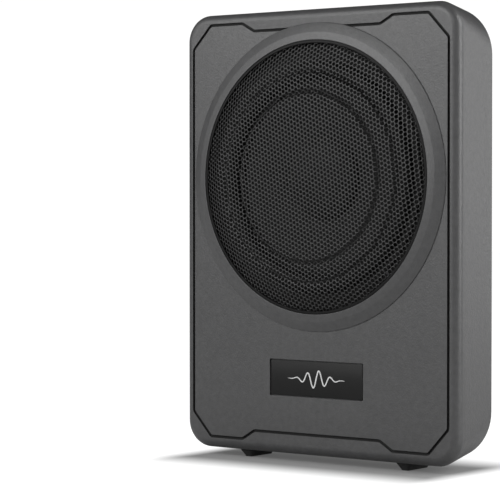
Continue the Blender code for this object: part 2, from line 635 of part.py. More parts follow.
def make_feet():
    """Two tapered rubber feet under the bottom end, each running front to back."""
    middle = FACE_Y + (FOOT_FRONT + FOOT_BACK) / 2
    length = FOOT_BACK - FOOT_FRONT
    for name, side in (("foot_left", -1), ("foot_right", 1)):
        bm = bmesh.new()
        bmesh.ops.create_cube(bm, size=1.0)
        for vert in bm.verts:
            is_top = vert.co.z > 0
            width = 0.014 if is_top else 0.006
            reach = length if is_top else length - 0.008
            vert.co = Vector((side * FOOT_X + vert.co.x * width, middle + vert.co.y * reach,
                              BODY_LOW - GAP if is_top else 0.0))
        upright = [edge for edge in bm.edges if abs(edge.verts[0].co.z - edge.verts[1].co.z) > 0.001]
        bmesh.ops.bevel(bm, geom=upright, offset=0.0018, segments=2, affect="EDGES")
        add_object(name, bm, RUBBER)


clear_scene()
make_front_housing()
make_front_trim()
make_rear()
make_driver()
make_controls()
make_connectors()
make_amplifier()
make_leads()
make_feet()
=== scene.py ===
import math

import bmesh
import bpy
import numpy as np
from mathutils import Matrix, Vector
from mathutils.geometry import delaunay_2d_cdt


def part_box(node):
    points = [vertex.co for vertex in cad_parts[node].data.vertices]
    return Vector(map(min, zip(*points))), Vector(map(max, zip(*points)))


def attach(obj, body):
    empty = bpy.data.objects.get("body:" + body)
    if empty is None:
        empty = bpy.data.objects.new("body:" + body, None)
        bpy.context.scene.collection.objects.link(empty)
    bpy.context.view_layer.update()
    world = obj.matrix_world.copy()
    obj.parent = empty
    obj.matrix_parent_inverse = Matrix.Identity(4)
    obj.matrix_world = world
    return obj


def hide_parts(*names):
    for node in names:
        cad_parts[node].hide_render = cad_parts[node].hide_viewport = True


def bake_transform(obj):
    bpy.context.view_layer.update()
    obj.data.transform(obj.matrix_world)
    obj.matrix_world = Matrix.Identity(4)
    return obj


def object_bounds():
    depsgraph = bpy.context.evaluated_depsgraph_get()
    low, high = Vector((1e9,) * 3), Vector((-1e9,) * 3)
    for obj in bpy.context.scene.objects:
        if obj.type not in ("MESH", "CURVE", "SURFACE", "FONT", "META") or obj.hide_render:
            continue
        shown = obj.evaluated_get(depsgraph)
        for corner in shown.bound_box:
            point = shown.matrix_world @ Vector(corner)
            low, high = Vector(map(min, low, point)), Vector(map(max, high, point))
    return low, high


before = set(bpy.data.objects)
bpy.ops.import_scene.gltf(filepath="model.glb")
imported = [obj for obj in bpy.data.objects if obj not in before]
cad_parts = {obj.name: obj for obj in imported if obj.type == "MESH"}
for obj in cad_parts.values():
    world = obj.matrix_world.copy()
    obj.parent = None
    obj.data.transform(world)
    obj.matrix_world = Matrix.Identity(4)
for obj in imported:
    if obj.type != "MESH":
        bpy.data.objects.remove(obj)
cad_box = [list(corner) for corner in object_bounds()]

# ---- Camera ----
# The cabinet stands on its short end and is seen from its right-hand front, with a long lens
# a little above its middle. The aim lies to its left, so that it stands in the right half.
housing_low, housing_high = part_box("front_housing")
basket_low, basket_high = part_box("driver_basket")
face_y = housing_low.y
axis_z = (basket_low.z + basket_high.z) / 2
driver_face = Vector((0.0, face_y, axis_z))
azimuth = math.radians(37.97)
elevation = math.radians(1.27)
towards = Vector((math.sin(azimuth) * math.cos(elevation),
                  -math.cos(azimuth) * math.cos(elevation), math.sin(elevation)))
across = Vector((math.cos(azimuth), math.sin(azimuth), 0.0))
upwards = towards.cross(across)
camera_data = bpy.data.cameras.new("camera")
camera_data.sensor_width = 36.0
camera_away, aim_left, aim_below = 1.668, 0.050, 0.0534
camera_data.lens = 157.8
camera = bpy.data.objects.new("camera", camera_data)
bpy.context.scene.collection.objects.link(camera)
camera.location = (driver_face + towards * camera_away - across * aim_left
                   - upwards * aim_below)
camera.rotation_mode = "QUATERNION"
camera.rotation_quaternion = (-towards).to_track_quat("-Z", "Y")
bpy.context.scene.camera = camera
bpy.context.scene.view_settings.view_transform = "Standard"

# ---- Studio ----
# Plain soft light: a large key box left of the front, a tall box on the right for the side wall,
# small fills, one box behind, and a pale sweep of floor whose glow whitens it away from the
# cabinet, leaving a painted contact shadow round the cabinet.
cabinet_middle = (Vector(cad_box[0]) + Vector(cad_box[1])) / 2


def softbox(name, turn, rise, away, width, height, power):
    """A rectangular light aimed at the cabinet's middle. It stands at a distance along the
    direction that turn (from the front, towards the right) and rise (above level) give."""
    turn, rise = math.radians(turn), math.radians(rise)
    out = Vector((math.sin(turn) * math.cos(rise), -math.cos(turn) * math.cos(rise),
                  math.sin(rise)))
    data = bpy.data.lights.new(name, "AREA")
    data.shape = "RECTANGLE"
    data.size, data.size_y = width, height
    data.energy = power
    lamp = bpy.data.objects.new(name, data)
    bpy.context.scene.collection.objects.link(lamp)
    lamp.location = cabinet_middle + out * away
    lamp.rotation_mode = "QUATERNION"
    lamp.rotation_quaternion = (-out).to_track_quat("-Z", "Y")


softbox("key_box", -23, 25, 1.7, 1.35, 1.3, 23)
softbox("fill_box", 14, 30, 1.7, 0.7, 0.8, 3)
softbox("left_box", -62, 20, 1.7, 0.7, 1.0, 2)
softbox("side_box", 96, 22, 1.6, 0.8, 1.5, 25)
softbox("rear_box", 145, 12, 2.0, 1.2, 1.4, 11)

world = bpy.data.worlds.new("studio")
bpy.context.scene.world = world
world.use_nodes = True
white = (1.0, 1.0, 1.0, 1.0)
backdrop_glow, room_glow = 1.05, 0.03
air = world.node_tree
air_shade = air.nodes["Background"]
air_seen = air.nodes.new("ShaderNodeBackground")
air_seen.inputs["Color"].default_value = white
air_seen.inputs["Strength"].default_value = backdrop_glow
air_shade.inputs["Color"].default_value = white
air_shade.inputs["Strength"].default_value = room_glow
air_path = air.nodes.new("ShaderNodeLightPath")
air_mix = air.nodes.new("ShaderNodeMixShader")
air.links.new(air_path.outputs["Is Camera Ray"], air_mix.inputs["Fac"])
air.links.new(air_shade.outputs[0], air_mix.inputs[1])
air.links.new(air_seen.outputs[0], air_mix.inputs[2])
air.links.new(air_mix.outputs[0], air.nodes["World Output"].inputs["Surface"])

floor_mesh = bpy.data.meshes.new("floor")
floor_half = 6.0
floor_mesh.from_pydata([(-floor_half, -floor_half, 0.0), (floor_half, -floor_half, 0.0),
                        (floor_half, floor_half, 0.0), (-floor_half, floor_half, 0.0)], [],
                       [(0, 1, 2, 3)])
floor = bpy.data.objects.new("floor", floor_mesh)
bpy.context.scene.collection.objects.link(floor)
floor.location.z = -0.0002
floor_paint = bpy.data.materials.new("pale_floor")
floor_paint.use_nodes = True
nodes, links = floor_paint.node_tree.nodes, floor_paint.node_tree.links
floor_shader = nodes["Principled BSDF"]
# The floor's own grey is dark, so that it shows as painted shadow where the glow is low.
floor_shader.inputs["Base Color"].default_value = (0.25, 0.25, 0.25, 1.0)
floor_shader.inputs["Roughness"].default_value = 0.9
floor_shader.inputs["Specular IOR Level"].default_value = 0.1
floor_shader.inputs["Emission Color"].default_value = white
# The glow grows with the distance from the cabinet's footprint, which counts 2.2 times sideways.
# The dark floor where it has not yet grown is a painted contact shadow.
painted_shadow_corner = (cad_box[1][0] - 0.018, cad_box[1][1], 0.0)
painted_shadow_fade_from, painted_shadow_fade_to = -0.015, 0.065
glow_on_cabinet = 0.40
floor_place = nodes.new("ShaderNodeTexCoord")
floor_steps = []
for operation, amount in (("ABSOLUTE", None), ("SUBTRACT", painted_shadow_corner), ("MAXIMUM", (0.0, 0.0, 0.0)),
                          ("MULTIPLY", (2.2, 1.0, 1.0)), ("LENGTH", None)):
    floor_steps.append(nodes.new("ShaderNodeVectorMath"))
    floor_steps[-1].operation = operation
    if amount:
        floor_steps[-1].inputs[1].default_value = amount
glow_past_painted_shadow = nodes.new("ShaderNodeMapRange")
glow_past_painted_shadow.interpolation_type = "SMOOTHSTEP"
glow_past_painted_shadow.inputs["From Min"].default_value = painted_shadow_fade_from
glow_past_painted_shadow.inputs["From Max"].default_value = painted_shadow_fade_to
for earlier, later in zip([floor_place] + floor_steps, floor_steps):
    links.new(earlier.outputs["Object" if earlier == floor_place else "Vector"], later.inputs[0])
links.new(floor_steps[-1].outputs["Value"], glow_past_painted_shadow.inputs["Value"])
floor_path = nodes.new("ShaderNodeLightPath")
floor_share = nodes.new("ShaderNodeMapRange")
floor_share.inputs["To Min"].default_value = glow_on_cabinet
floor_strength = nodes.new("ShaderNodeMath")
floor_strength.operation = "MULTIPLY"
links.new(floor_path.outputs["Is Camera Ray"], floor_share.inputs["Value"])
links.new(glow_past_painted_shadow.outputs["Result"], floor_strength.inputs[0])
links.new(floor_share.outputs["Result"], floor_strength.inputs[1])
links.new(floor_strength.outputs["Value"], floor_shader.inputs["Emission Strength"])
floor_mesh.materials.append(floor_paint)

# ---- Cabinet shell ----
# One thin casting: a flat front, four drafted walls with a rolled front edge, and corners that
# open out towards the rear rim. A narrow line is cut round the front, and the well takes the
# driver. Both are coloured near-black as painted shade, for the shade that falls deep inside them.
mm = 0.001
half_width = housing_high.x
shell_low, shell_high = housing_low.z, housing_high.z
edge_radius = 7 * mm
rim_depth = 50 * mm
side_draft, end_draft = 2 * mm, 1.5 * mm
corner_points = 15
wall = 3.2 * mm
face_wall = 3.5 * mm
window_mark = 78 * mm
window_rows = (12 * mm, 42 * mm)


def outline(depth, inset):
    """The cabinet's outline at a depth behind the front, drawn in by an inset: four quarter
    circles joined by straight sides. From the rolled edge to the rim the sides close in by
    2 mm and the ends by 1.5 mm, while the corner radius grows from 21 to 37 mm."""
    share = max(0.0, (depth - edge_radius) / (rim_depth - edge_radius))
    half = half_width - side_draft * share - inset
    low = shell_low + end_draft * share + inset
    high = shell_high - end_draft * share - inset
    radius = max((21 + 16 * share) * mm - inset, 4 * mm)
    turn = np.radians(np.linspace(0, 90, corner_points))
    arcs = []
    for side, end, start in ((1, high, 0), (-1, high, 90), (-1, low, 180), (1, low, 270)):
        middle_z = end - radius if end == high else end + radius
        angle = turn + math.radians(start)
        arcs.append(np.stack((side * (half - radius) + radius * np.cos(angle),
                              middle_z + radius * np.sin(angle)), -1))
    top = np.array(((window_mark, high), (-window_mark, high)))
    foot = np.array(((-window_mark, low), (window_mark, low)))
    loop = np.concatenate((arcs[0], top, arcs[1], arcs[2], foot, arcs[3], arcs[0][:1]))
    return np.stack((loop[:, 0], np.full(len(loop), face_y + depth), loop[:, 1]), -1)


def softened(corners, reach, steps=4):
    """Rounds every corner of a closed outline. The curve leaves one side and joins the next a
    reach away from the corner, and runs as (1-t)^2 start + 2t(1-t) corner + t^2 end."""
    corners = np.asarray(corners, float)
    before = np.roll(corners, 1, 0) - corners
    after = np.roll(corners, -1, 0) - corners
    long_before = np.linalg.norm(before, axis=1, keepdims=True)
    long_after = np.linalg.norm(after, axis=1, keepdims=True)
    start = corners + before / long_before * np.minimum(reach, 0.45 * long_before)
    end = corners + after / long_after * np.minimum(reach, 0.45 * long_after)
    t = np.linspace(0, 1, steps + 1)[None, :, None]
    curve = (1 - t) ** 2 * start[:, None] + 2 * t * (1 - t) * corners[:, None] + t * t * end[:, None]
    return curve.reshape(-1, corners.shape[1])


def moved_out(loop, distance):
    """A closed outline with each side moved outwards: every corner slides along the sum of its
    two sides' normals, divided by one plus their dot product."""
    inward = loop - np.roll(loop, 1, 0)
    onward = np.roll(loop, -1, 0) - loop
    inward = inward / np.linalg.norm(inward, axis=1, keepdims=True)
    onward = onward / np.linalg.norm(onward, axis=1, keepdims=True)
    turn = (inward * onward).sum(1, keepdims=True)
    mitre = np.stack((inward[:, 1] + onward[:, 1], -inward[:, 0] - onward[:, 0]), -1) / (1 + turn)
    return loop + distance * mitre


def plate(edge, holes, place):
    """Fills a flat region between an outer edge and its holes with triangles. The loops are in
    the plane's two coordinates, and place turns such pairs into points of the cabinet. A triangle
    stays where a ray from its middle crosses the loops an odd number of times."""
    loops = [edge, *holes]
    flat = np.concatenate(loops)
    sides = []
    start = 0
    for loop in loops:
        sides += [(start + i, start + (i + 1) % len(loop)) for i in range(len(loop))]
        start += len(loop)
    made = delaunay_2d_cdt([Vector(point) for point in flat], sides, [], 0, 1e-7)
    corners = np.array([tuple(point) for point in made[0]])
    triangles = np.array([tuple(face) for face in made[2]])
    middle = corners[triangles].mean(1)
    crossings = np.zeros(len(middle), int)
    for loop in loops:
        first, second = loop, np.roll(loop, -1, 0)
        spans = (first[:, 1] > middle[:, 1:2]) != (second[:, 1] > middle[:, 1:2])
        rise = np.where(second[:, 1] == first[:, 1], 1.0, second[:, 1] - first[:, 1])
        at = first[:, 0] + (middle[:, 1:2] - first[:, 1]) * (second[:, 0] - first[:, 0]) / rise
        crossings += (spans & (middle[:, 0:1] < at)).sum(1)
    return place(corners), triangles[crossings % 2 == 1]


def ring_of(loop, place):
    """A closed outline as one row of a grid: its points in the cabinet, the first repeated."""
    return place(np.concatenate((loop, loop[:1])))


def skin(name, grids, plates=(), fold=35.0, shades=None, closed=True):
    """One mesh from point grids and flat plates. Each grid cell becomes a quad between its four
    corner points, each plate brings its triangles, and points that share a place become one.
    Edges that bend by more than the fold angle stay crisp."""
    points, faces, marks = [], [], []
    start = 0
    for number, grid in enumerate(grids):
        rows, columns = grid.shape[:2]
        index = start + np.arange(rows * columns).reshape(rows, columns)
        cells = np.stack((index[:-1, :-1], index[:-1, 1:], index[1:, 1:], index[1:, :-1]), -1)
        points.append(grid.reshape(-1, 3))
        faces += cells.reshape(-1, 4).tolist()
        marks += [shades[number] if shades else 0] * (len(faces) - len(marks))
        start += rows * columns
    for corners, triangles in plates:
        points.append(corners)
        faces += (triangles + start).tolist()
        marks += [0] * (len(faces) - len(marks))
        start += len(corners)
    mesh = bpy.data.meshes.new(name)
    mesh.from_pydata(np.concatenate(points).tolist(), [], faces)
    mesh.polygons.foreach_set("material_index", marks)
    work = bmesh.new()
    work.from_mesh(mesh)
    bmesh.ops.remove_doubles(work, verts=work.verts, dist=0.00001)
    if closed:
        bmesh.ops.recalc_face_normals(work, faces=work.faces)
    work.to_mesh(mesh)
    work.free()
    mesh.shade_smooth()
    mesh.set_sharp_from_angle(angle=math.radians(fold))
    piece = bpy.data.objects.new(name, mesh)
    bpy.context.scene.collection.objects.link(piece)
    return piece


def finish(name, colours, grain, gloss, pitting, metal=0.0, broad=14.0, shine=0.5):
    """A worked surface. A broad cloud mixes the two colours, a fine grain of the given size in
    millimetres roughens it between the two gloss values, and the same grain, as a height of
    pitting millimetres, bends the light. Shine scales what a non-metal mirrors."""
    look = bpy.data.materials.new(name)
    look.use_nodes = True
    tree = look.node_tree
    shader = tree.nodes["Principled BSDF"]
    shader.inputs["Metallic"].default_value = metal
    shader.inputs["Specular IOR Level"].default_value = shine
    place = tree.nodes.new("ShaderNodeTexCoord")
    cloud = tree.nodes.new("ShaderNodeTexNoise")
    cloud.inputs["Scale"].default_value = broad
    cloud.inputs["Detail"].default_value = 5.0
    fine = tree.nodes.new("ShaderNodeTexNoise")
    fine.inputs["Scale"].default_value = 1000.0 / grain
    fine.inputs["Detail"].default_value = 3.0
    blend = tree.nodes.new("ShaderNodeMix")
    blend.data_type = "RGBA"
    blend.inputs["A"].default_value = (*colours[0], 1.0)
    blend.inputs["B"].default_value = (*colours[1], 1.0)
    stretch = tree.nodes.new("ShaderNodeMapRange")
    stretch.inputs["From Min"].default_value = 0.3
    stretch.inputs["From Max"].default_value = 0.7
    rough = tree.nodes.new("ShaderNodeMapRange")
    rough.inputs["From Min"].default_value = 0.3
    rough.inputs["From Max"].default_value = 0.7
    rough.inputs["To Min"].default_value = gloss[0]
    rough.inputs["To Max"].default_value = gloss[1]
    height = tree.nodes.new("ShaderNodeBump")
    height.inputs["Strength"].default_value = 0.5
    height.inputs["Distance"].default_value = pitting * mm
    for source in (cloud, fine):
        tree.links.new(place.outputs["Object"], source.inputs["Vector"])
    tree.links.new(cloud.outputs["Fac"], stretch.inputs["Value"])
    tree.links.new(stretch.outputs["Result"], blend.inputs["Factor"])
    tree.links.new(blend.outputs["Result"], shader.inputs["Base Color"])
    tree.links.new(fine.outputs["Fac"], rough.inputs["Value"])
    tree.links.new(rough.outputs["Result"], shader.inputs["Roughness"])
    tree.links.new(fine.outputs["Fac"], height.inputs["Height"])
    tree.links.new(height.outputs["Normal"], shader.inputs["Normal"])
    return look


def on_front(depth):
    """Places pairs (x, z) at a depth behind the front face."""
    return lambda pairs: np.stack((pairs[:, 0], np.full(len(pairs), face_y + depth),
                                   pairs[:, 1]), -1)


def fitted(piece, body, finish_slot, node, *looks):
    """Ends a piece: its materials go on, it moves with its body, and it stands in for the plain solid
    of the node, where one is named. The finish slot is not used."""
    for look in looks:
        piece.data.materials.append(look)
    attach(piece, body)
    if node:
        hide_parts(node)


line_upper = ((121.0, 102.2), (102.9, 121.3), (70.5, 121.3), (58.9, 115.0))
line_lower = ((121.0, -185.4), (102.9, -205.2), (70.5, -205.2), (58.9, -198.1))
line_half, line_deep, line_lip = 0.95 * mm, 1.7 * mm, 0.2 * mm
line_path = [(x, z) for x, z in line_upper] + [(-x, z) for x, z in line_upper[::-1]]
line_path += [(-x, z) for x, z in line_lower] + [(x, z) for x, z in line_lower[::-1]]
line_path = moved_out(np.array(line_path) * mm + (0.0, axis_z), -line_half - line_lip)
line_path = softened(line_path, 1.5 * mm, 3)
lip_turn = np.radians((0, 5, 30, 60, 90))
line_rows = [(line_half + line_lip * (1 - math.sin(a)), line_lip * (1 - math.cos(a)))
             for a in lip_turn] + [(line_half, line_deep)]
line_rows += [(-offset, depth) for offset, depth in line_rows[::-1]]
line_grid = np.stack([ring_of(moved_out(line_path, offset), on_front(depth))
                      for offset, depth in line_rows])

badge_low, badge_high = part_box("badge_plate")
pocket_x, pocket_z, pocket_deep = 44 * mm, 14.2 * mm, 2 * mm
badge_z = (badge_low.z + badge_high.z) / 2
pocket = softened(np.array(((pocket_x, pocket_z), (-pocket_x, pocket_z), (-pocket_x, -pocket_z),
                            (pocket_x, -pocket_z))) + (0.0, badge_z), 0.8 * mm)
pocket_rows = [(0.2 * mm * (1 - math.sin(a)), 0.2 * mm * (1 - math.cos(a)))
               for a in lip_turn] + [(0.0, pocket_deep)]
pocket_grid = np.stack([ring_of(moved_out(pocket, offset), on_front(depth))
                        for offset, depth in pocket_rows])
around = np.linspace(0, 2 * math.pi, 129)
circle = np.stack((np.cos(around[:-1]), np.sin(around[:-1])), -1)
well_rows = ((103.8, 0.0), (103.8, 6.0), (93.2, 6.0), (93.0, 6.2), (93.0, 9.0), (106.8, 9.0),
             (106.8, 3.5))
well_grid = np.stack([ring_of(circle * radius * mm + (0.0, axis_z), on_front(depth * mm))
                      for radius, depth in well_rows])

edge_turn = np.radians((0, 2, 8, 17, 27, 38, 49, 60, 71, 81, 88, 90))
outer_rows = [outline(edge_radius * (1 - math.cos(a)), edge_radius * (1 - math.sin(a)))
               for a in edge_turn]
outer_rows.append(outline(window_rows[0], 0.0))
rear_rows = [outline(depth, 0.0) for depth in (window_rows[1], rim_depth - 1.4 * mm)]
rear_rows += [outline(rim_depth - 0.7 * mm * (1 - math.sin(a)), 0.7 * mm * (1 - math.cos(a)))
              for a in lip_turn]
rear_rows += [outline(rim_depth, wall - 0.3 * mm), outline(rim_depth - 0.3 * mm, wall),
              outline(window_rows[1], wall)]
inner_rows = [outline(window_rows[0], wall), outline(edge_radius + 2 * mm, wall),
              outline(face_wall, edge_radius)]
first_mark, second_mark = corner_points, 3 * corner_points + 2
spans = ((0, first_mark + 1), (first_mark + 1, second_mark + 1), (second_mark + 1, None))
shell_grids = [np.stack(outer_rows), np.stack(rear_rows), np.stack(inner_rows)]
for first, last in ((outer_rows[-1], rear_rows[0]), (rear_rows[-1], inner_rows[0])):
    shell_grids += [np.stack((first[a:b], last[a:b])) for a, b in spans]

shell_plates = [plate(outer_rows[0][:-1][:, (0, 2)], [line_grid[0][:-1][:, (0, 2)]], on_front(0.0)),
                plate(line_grid[-1][:-1][:, (0, 2)], [pocket_grid[0][:-1][:, (0, 2)],
                                                      well_grid[0][:-1][:, (0, 2)]], on_front(0.0)),
                plate(pocket_grid[-1][:-1][:, (0, 2)], [], on_front(pocket_deep)),
                plate(inner_rows[-1][:-1][:, (0, 2)], [well_grid[-1][:-1][:, (0, 2)]],
                      on_front(face_wall))]
recess_front, recess_back = 16 * mm, 38 * mm
for end, half in ((1, 70 * mm), (-1, 62 * mm)):
    def on_end(sunk, end=end):
        """Places pairs (x, depth) on the drafted end wall, sunk below its surface."""
        edge = shell_high if end > 0 else shell_low
        return lambda pairs: np.stack((
            pairs[:, 0], face_y + pairs[:, 1],
            edge - end * (sunk + end_draft * (pairs[:, 1] - edge_radius)
                          / (rim_depth - edge_radius))), -1)

    frame_edge = np.array(((-window_mark, window_rows[0]), (window_mark, window_rows[0]),
                           (window_mark, window_rows[1]), (-window_mark, window_rows[1])))
    mouth = softened(((-half, recess_front), (half, recess_front), (half, recess_back),
                      (-half, recess_back)), 1.5 * mm)
    mouth_rows = [(0.5 * mm * (1 - math.sin(a)), 0.5 * mm * (1 - math.cos(a)))
                  for a in lip_turn] + [(0.0, wall)]
    shell_grids.append(np.stack([ring_of(moved_out(mouth, offset), on_end(sunk))
                                 for offset, sunk in mouth_rows]))
    shell_plates.append(plate(frame_edge, [moved_out(mouth, mouth_rows[0][0])], on_end(0.0)))
    shell_plates.append(plate(frame_edge, [mouth], on_end(wall)))

# Of these grids only the well's and the line's take the second, near-black finish, which is painted
# shade.
cabinet_shell = skin("cabinet_shell", [*shell_grids, pocket_grid, well_grid, line_grid],
                     shell_plates, shades=[0] * (len(shell_grids) + 1) + [1, 1])
grey_coat = finish("grey_powder_coat", ((0.051, 0.051, 0.052), (0.064, 0.064, 0.065)), 1.4,
                   (0.33, 0.43), 0.3, broad=260.0)
# Painted shade: the near-black colour of the cut line and the well stands in for their shade.
line_shadow = finish("painted_line_shade", ((0.006, 0.006, 0.006), (0.010, 0.010, 0.010)), 0.5,
                     (0.8, 0.9), 0.05)
fitted(cabinet_shell, "cabinet", "grey_paint", "front_housing", grey_coat, line_shadow)

# ---- Trim ring ----
# A flat moulded ring, painted with the cabinet, that clamps the grille's flange against the face.
# Its outer edge slopes up to a soft crease, and its land slopes gently to the grille.


def turned(profile, centre, along="Y", turns=144, sweep=360.0, start=0.0):
    """Carries (radius, distance) pairs round a line through centre: each becomes centre plus
    distance along the line plus radius times (cos a, sin a) across it. Distances are depths
    along +Y, or heights along +Z."""
    profile = np.asarray(profile, float)
    angle = np.radians(start + np.linspace(0, sweep, turns + 1))
    first = profile[:, :1] * np.cos(angle)
    second = profile[:, :1] * np.sin(angle)
    third = np.repeat(profile[:, 1:], turns + 1, 1)
    order = (first, third, second) if along == "Y" else (first, second, third)
    return np.stack(order, -1) + np.asarray(centre, float)


def closed_loop(profile, reach, steps=4):
    """A softened closed profile in millimetres, its first point repeated, in metres."""
    loop = softened(profile, reach, steps)
    return np.concatenate((loop, loop[:1])) * mm


ring_profile = closed_loop(((117.7, -0.02), (117.7, -0.7), (110.2, -3.9), (104.5, -5.0),
                            (104.3, -4.6), (104.3, -1.8), (106.2, -1.8), (106.2, -0.02)), 0.55)
trim_ring = skin("trim_ring", [turned(ring_profile, driver_face, turns=240)])
fitted(trim_ring, "cabinet", "grey_paint", "grille_ring", grey_coat)

# ---- Grille ----
# Perforated steel sheet, punched in a close hexagonal pattern, then stamped into a shallow dome
# with two small stepped grooves and coated black. A plain turned flange holds it under the ring.
hole_pitch, hole_radius, sheet = 3.47 * mm, 1.51 * mm, 0.5 * mm
pattern_turn = math.radians(36.6)
dome_radii = np.array((0.0, 62.9, 64.4, 65.5, 66.8, 78.5, 79.9, 81.0, 82.3, 88.2, 102.4, 104.5)) * mm
dome_rise = np.array((12.95, 12.55, 10.2, 10.2, 11.3, 11.1, 9.3, 9.3, 9.75, 9.55, 4.1, 3.9)) * mm
seam_radius, last_hole, sheet_edge = 64.9 * mm, 102.2 * mm, 103.95 * mm

steps = np.arange(-45, 46)
first_step, second_step = (grid.reshape(-1, 1) for grid in np.meshgrid(steps, steps))
directions = pattern_turn + np.radians((0, 60))
holes = hole_pitch * (first_step * (math.cos(directions[0]), math.sin(directions[0]))
                      + second_step * (math.cos(directions[1]), math.sin(directions[1])))
holes = holes[np.linalg.norm(holes, axis=1) < last_hole]
spokes = pattern_turn + np.radians(30 * np.arange(12))
reach = np.where(np.arange(12) % 2 == 0, hole_pitch / 2, hole_pitch / math.sqrt(3))
spoke_way = np.stack((np.cos(spokes), np.sin(spokes)), -1)
black_grille = finish("grille_black_coat", ((0.004, 0.004, 0.004), (0.006, 0.006, 0.006)), 0.3,
                      (0.27, 0.35), 0.03, shine=0.72)
for name, chosen in (("grille_middle", np.linalg.norm(holes, axis=1) < seam_radius),
                     ("grille_outer", np.linalg.norm(holes, axis=1) >= seam_radius)):
    cells = holes[chosen][:, None, None, :] + np.stack(
        (spoke_way * hole_radius, spoke_way * reach[:, None]))[None]
    cells = np.concatenate((cells, cells[:, :, :1]), 2)
    radius = np.linalg.norm(cells, axis=-1)
    cells = cells * np.minimum(1.0, sheet_edge / np.maximum(radius, mm))[..., None]
    rise = np.interp(np.minimum(radius, sheet_edge), dome_radii, dome_rise)
    surface = np.stack((cells[..., 0], face_y - rise, axis_z + cells[..., 1]), -1)
    mesh_part = skin(name, list(surface.transpose(0, 2, 1, 3)), fold=28.0, closed=False)
    thick = mesh_part.modifiers.new("sheet", "SOLIDIFY")
    thick.thickness = sheet
    thick.offset = -1.0
    fitted(mesh_part, "cabinet", "grille_black", "grille", black_grille)

flange = skin("grille_flange", [turned(closed_loop(
    ((105.8, -1.4), (104.2, -1.4), (104.2, -4.4), (102.3, -4.9), (102.0, -4.5), (102.0, -3.4),
     (103.2, -3.0), (103.2, -0.5), (105.8, -0.5)), 0.25, 2), driver_face, turns=180)])
flange_coat = finish("flange_black", ((0.007, 0.007, 0.007), (0.010, 0.010, 0.010)), 0.4, (0.45, 0.6),
                     0.03, shine=0.15)
fitted(flange, "cabinet", "grille_black", None, flange_coat)

# ---- Badge plate ----
# A flat moulded plate, glued into its pocket under the grille. Its face carries a raised wave
# that dies out to both sides, printed in pale silver.


def rectangle(middle, half, radius, steps=5):
    """A rounded rectangle about a middle point, in a plane's two coordinates: four quarter
    circles of the radius, joined by straight sides, with the half sizes given."""
    turn = np.radians(np.linspace(0, 90, steps + 1))
    arcs = []
    for side, end, start in ((1, 1, 0), (-1, 1, 90), (-1, -1, 180), (1, -1, 270)):
        angle = turn + math.radians(start)
        arcs.append(np.stack((middle[0] + side * (half[0] - radius) + radius * np.cos(angle),
                              middle[1] + end * (half[1] - radius) + radius * np.sin(angle)), -1))
    return np.concatenate(arcs)


def slab(loop, levels, place, bores=()):
    """A flat piece with shaped edges: its outline is moved out by each level's offset and put
    at its distance, and both ends are filled. A bore (outline, distance) sinks from the last
    level down to its own distance."""
    grids = [np.stack([ring_of(moved_out(loop, offset), place(distance))
                       for offset, distance in levels])]
    floors = []
    for mouth, floor_at in bores:
        grids.append(np.stack([ring_of(mouth, place(levels[-1][1])),
                               ring_of(mouth, place(floor_at))]))
        floors.append(plate(mouth, [], place(floor_at)))
    ends = [plate(moved_out(loop, levels[0][0]), [], place(levels[0][1])),
            plate(moved_out(loop, levels[-1][0]), [mouth for mouth, _ in bores],
                  place(levels[-1][1]))]
    return grids, ends + floors


badge_half = (badge_high.x, (badge_high.z - badge_low.z) / 2)
badge_levels = ((0.0, 1.7 * mm), (0.0, 0.85 * mm), (-0.08 * mm, 0.68 * mm), (-0.25 * mm, 0.6 * mm))
badge = skin("badge_face", *slab(rectangle((0.0, badge_z), badge_half, 0.7 * mm), badge_levels,
                                 on_front))
satin_black = finish("badge_satin_black", ((0.012, 0.012, 0.012), (0.016, 0.016, 0.016)), 0.25,
                     (0.36, 0.46), 0.01, shine=0.14)
fitted(badge, "cabinet", "badge_black", "badge_plate", satin_black)

wave_long, wave_high, wave_fade, wave_pitch = 27.0, 6.8, 13.0, 10.8
wave_x = np.linspace(-wave_long, wave_long, 361)
wave_z = wave_high * np.exp(-(wave_x / wave_fade) ** 2) * np.sin(2 * math.pi * wave_x / wave_pitch)
wave_slope = np.gradient(wave_z, wave_x)
wave_side = np.stack((-wave_slope, np.ones_like(wave_x)), -1) / np.hypot(1, wave_slope)[:, None]
wave_thin = np.sqrt(np.clip(1 - (wave_x / wave_long) ** 2, 0, 1))
wave_rows = []
for across_by, depth_at in ((-0.62, 0.66), (-0.48, 0.42), (0.48, 0.42), (0.62, 0.66), (-0.62, 0.66)):
    flat = np.stack((wave_x, wave_z), -1) + wave_side * (across_by * wave_thin)[:, None]
    wave_rows.append(on_front(depth_at * mm)(flat * mm + (0.0, badge_z)))
wave = skin("badge_wave", [np.stack(wave_rows)])
silver_print = finish("pale_silver_print", ((0.62, 0.62, 0.62), (0.70, 0.70, 0.70)), 0.2, (0.35, 0.45),
                      0.01)
fitted(wave, "cabinet", "badge_black", None, silver_print)

# ---- Driver ----
# An eight-inch driver behind the grille: a pressed basket on four screws, a rubber half roll,
# a pulp cone with a domed cap, and a ferrite motor behind.


def round_edge(middle, radius, sides=24):
    """A circle about a middle point, in a plane's two coordinates."""
    angle = np.radians(np.arange(sides) * 360 / sides)
    return np.stack((np.cos(angle), np.sin(angle)), -1) * radius + middle


